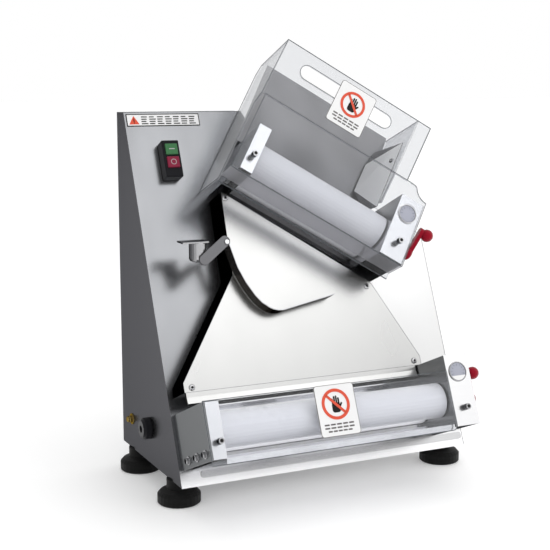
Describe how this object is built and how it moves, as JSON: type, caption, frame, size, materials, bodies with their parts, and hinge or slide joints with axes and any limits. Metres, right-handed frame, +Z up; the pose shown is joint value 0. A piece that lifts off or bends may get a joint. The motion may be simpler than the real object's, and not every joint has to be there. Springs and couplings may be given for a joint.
{
  "type": "dough sheeter",
  "caption": "Tabletop dough sheeter with a sloped steel housing, a tilted upper roller unit under a clear hood, a chute with a turning arm, and a lower roller unit",
  "frame": {"origin": "centre of the whole part's outline on the table, at the underside of the feet", "axes": "+X to the operator's right, +Y to the back, +Z up; the operator stands on the -Y side"},
  "size_m": [0.564, 0.408, 0.7333],
  "materials": {
    "brushed_steel": "satin brushed stainless sheet",
    "polished_steel": "polished stainless steel",
    "black_rubber": "matt moulded rubber",
    "black_plastic": "satin moulded plastic",
    "white_plastic": "smooth food-grade plastic",
    "clear_acrylic": "clear polished acrylic sheet",
    "red_plastic": "glossy dark red moulded plastic",
    "red_button_plastic": "glossy red moulded plastic",
    "green_plastic": "glossy green moulded plastic",
    "grey_window": "glossy scale window, grey behind",
    "cast_aluminium": "machined cast aluminium",
    "motor_casing": "painted grey casing"
  },
  "bodies": {
    "housing": {"arm_pivot_post": "polished_steel", "base_plate": "brushed_steel", "body_shell": "brushed_steel", "cable_gland": "black_plastic", "chute_plate": "brushed_steel", "earth_terminal": "polished_steel", "exit_tray_lip": "brushed_steel", "feed_plate": "brushed_steel", "foot_front_left": "black_rubber", "foot_front_right": "black_rubber", "foot_rear_left": "black_rubber", "foot_rear_right": "black_rubber", "lower_back_plate": "brushed_steel", "lower_drive_belt": "black_rubber", "lower_front_cover": "clear_acrylic", "lower_gap_window": "grey_window", "lower_left_bracket": "brushed_steel", "lower_motor": "motor_casing", "lower_right_bracket": "brushed_steel", "lower_scraper": "polished_steel", "lower_trough": "brushed_steel", "rear_cover": "brushed_steel", "side_guide": "brushed_steel", "switch_housing": "black_plastic", "upper_drive_belt": "black_rubber", "upper_front_cover": "clear_acrylic", "upper_gap_window": "grey_window", "upper_hood": "clear_acrylic", "upper_left_bracket": "brushed_steel", "upper_motor": "motor_casing", "upper_right_bracket": "brushed_steel", "upper_scraper": "polished_steel"},
    "lower_rear_roller_set": {"lower_rear_roller": "white_plastic", "lower_rear_shaft": "polished_steel", "lower_rear_gear": "cast_aluminium", "lower_roller_pulley": "cast_aluminium"},
    "lower_gap_carriage": {"lower_gap_bush": "cast_aluminium"},
    "lower_front_roller_set": {"lower_front_roller": "white_plastic", "lower_front_shaft": "polished_steel", "lower_front_gear": "cast_aluminium"},
    "upper_rear_roller_set": {"upper_rear_roller": "white_plastic", "upper_rear_shaft": "polished_steel", "upper_rear_gear": "cast_aluminium", "upper_roller_pulley": "cast_aluminium"},
    "upper_gap_carriage": {"upper_gap_bush": "cast_aluminium"},
    "upper_front_roller_set": {"upper_front_roller": "white_plastic", "upper_front_shaft": "polished_steel", "upper_front_gear": "cast_aluminium"},
    "lower_motor_drive": {"lower_motor_pulley": "cast_aluminium"},
    "upper_motor_drive": {"upper_motor_pulley": "cast_aluminium"},
    "lower_gap_setting": {"lower_gap_lever": "red_plastic", "lower_gap_knob": "red_plastic"},
    "upper_gap_setting": {"upper_gap_lever": "red_plastic", "upper_gap_knob": "red_plastic"},
    "start_push": {"start_button": "green_plastic"},
    "stop_push": {"stop_button": "red_button_plastic"},
    "turning_arm": {"turning_arm_strip": "polished_steel", "turning_arm_link": "polished_steel", "arm_counterweight": "brushed_steel", "arm_stop_tab": "brushed_steel"}
  },
  "joints": [
    {"name": "lower_rear_spin", "type": "hinge", "parent": "housing", "child": "lower_rear_roller_set", "pos_m": [-0.03575, -0.08718, 0.12328], "axis": [1, 0, 0], "continuous": true},
    {"name": "lower_gap_slide", "type": "slide", "parent": "housing", "child": "lower_gap_carriage", "axis": [0, 0.9178, -0.3971], "range_m": [-0.0025, 0.0025]},
    {"name": "lower_front_spin", "type": "hinge", "parent": "lower_gap_carriage", "child": "lower_front_roller_set", "pos_m": [-0.03575, -0.14225, 0.14711], "axis": [1, 0, 0], "continuous": true},
    {"name": "upper_rear_spin", "type": "hinge", "parent": "housing", "child": "upper_rear_roller_set", "pos_m": [0.01114, 0.05496, 0.45176], "axis": [0.829, -0.2221, -0.5132], "continuous": true},
    {"name": "upper_gap_slide", "type": "slide", "parent": "housing", "child": "upper_gap_carriage", "axis": [0, 0.9178, -0.3971], "range_m": [-0.0025, 0.0025]},
    {"name": "upper_front_spin", "type": "hinge", "parent": "upper_gap_carriage", "child": "upper_front_roller_set", "pos_m": [0.01114, -0.0001, 0.47558], "axis": [0.829, -0.2221, -0.5132], "continuous": true},
    {"name": "lower_motor_spin", "type": "hinge", "parent": "housing", "child": "lower_motor_drive", "pos_m": [0.182, 0.00735, 0.08237], "axis": [1, 0, 0], "continuous": true},
    {"name": "upper_motor_spin", "type": "hinge", "parent": "housing", "child": "upper_motor_drive", "pos_m": [0.12783, 0.11823, 0.33862], "axis": [0.829, -0.2221, -0.5132], "continuous": true},
    {"name": "lower_gap_lever_turn", "type": "hinge", "parent": "housing", "child": "lower_gap_setting", "pos_m": [0.2085, -0.14607, 0.14331], "axis": [1, 0, 0], "range_deg": [-45, 45]},
    {"name": "upper_gap_lever_turn", "type": "hinge", "parent": "housing", "child": "upper_gap_setting", "pos_m": [0.147, -0.04073, 0.38674], "axis": [0.829, -0.2221, -0.5132], "range_deg": [-45, 45]},
    {"name": "start_button_press", "type": "slide", "parent": "housing", "child": "start_push", "axis": [0, 0.9178, -0.3971], "range_m": [0, 0.002], "stiffness_N_per_m": 400, "springref_m": -0.001},
    {"name": "stop_button_press", "type": "slide", "parent": "housing", "child": "stop_push", "axis": [0, 0.9178, -0.3971], "range_m": [0, 0.002], "stiffness_N_per_m": 400, "springref_m": -0.001},
    {"name": "turning_arm_swing", "type": "hinge", "parent": "housing", "child": "turning_arm", "pos_m": [-0.1535, -0.00542, 0.41042], "axis": [0, -0.9178, 0.3971], "range_deg": [-30, 20]}
  ],
  "couplings": [
    {"joint": "lower_front_spin", "follows": "lower_rear_spin", "ratio": -1},
    {"joint": "upper_rear_spin", "follows": "lower_rear_spin", "ratio": 1},
    {"joint": "upper_front_spin", "follows": "lower_rear_spin", "ratio": -1},
    {"joint": "lower_motor_spin", "follows": "lower_rear_spin", "ratio": 1.4615},
    {"joint": "upper_motor_spin", "follows": "lower_rear_spin", "ratio": 1.4615},
    {"joint": "lower_gap_slide", "follows": "lower_gap_lever_turn", "m_per_rad": 0.00318},
    {"joint": "upper_gap_slide", "follows": "upper_gap_lever_turn", "m_per_rad": 0.00318}
  ]
}
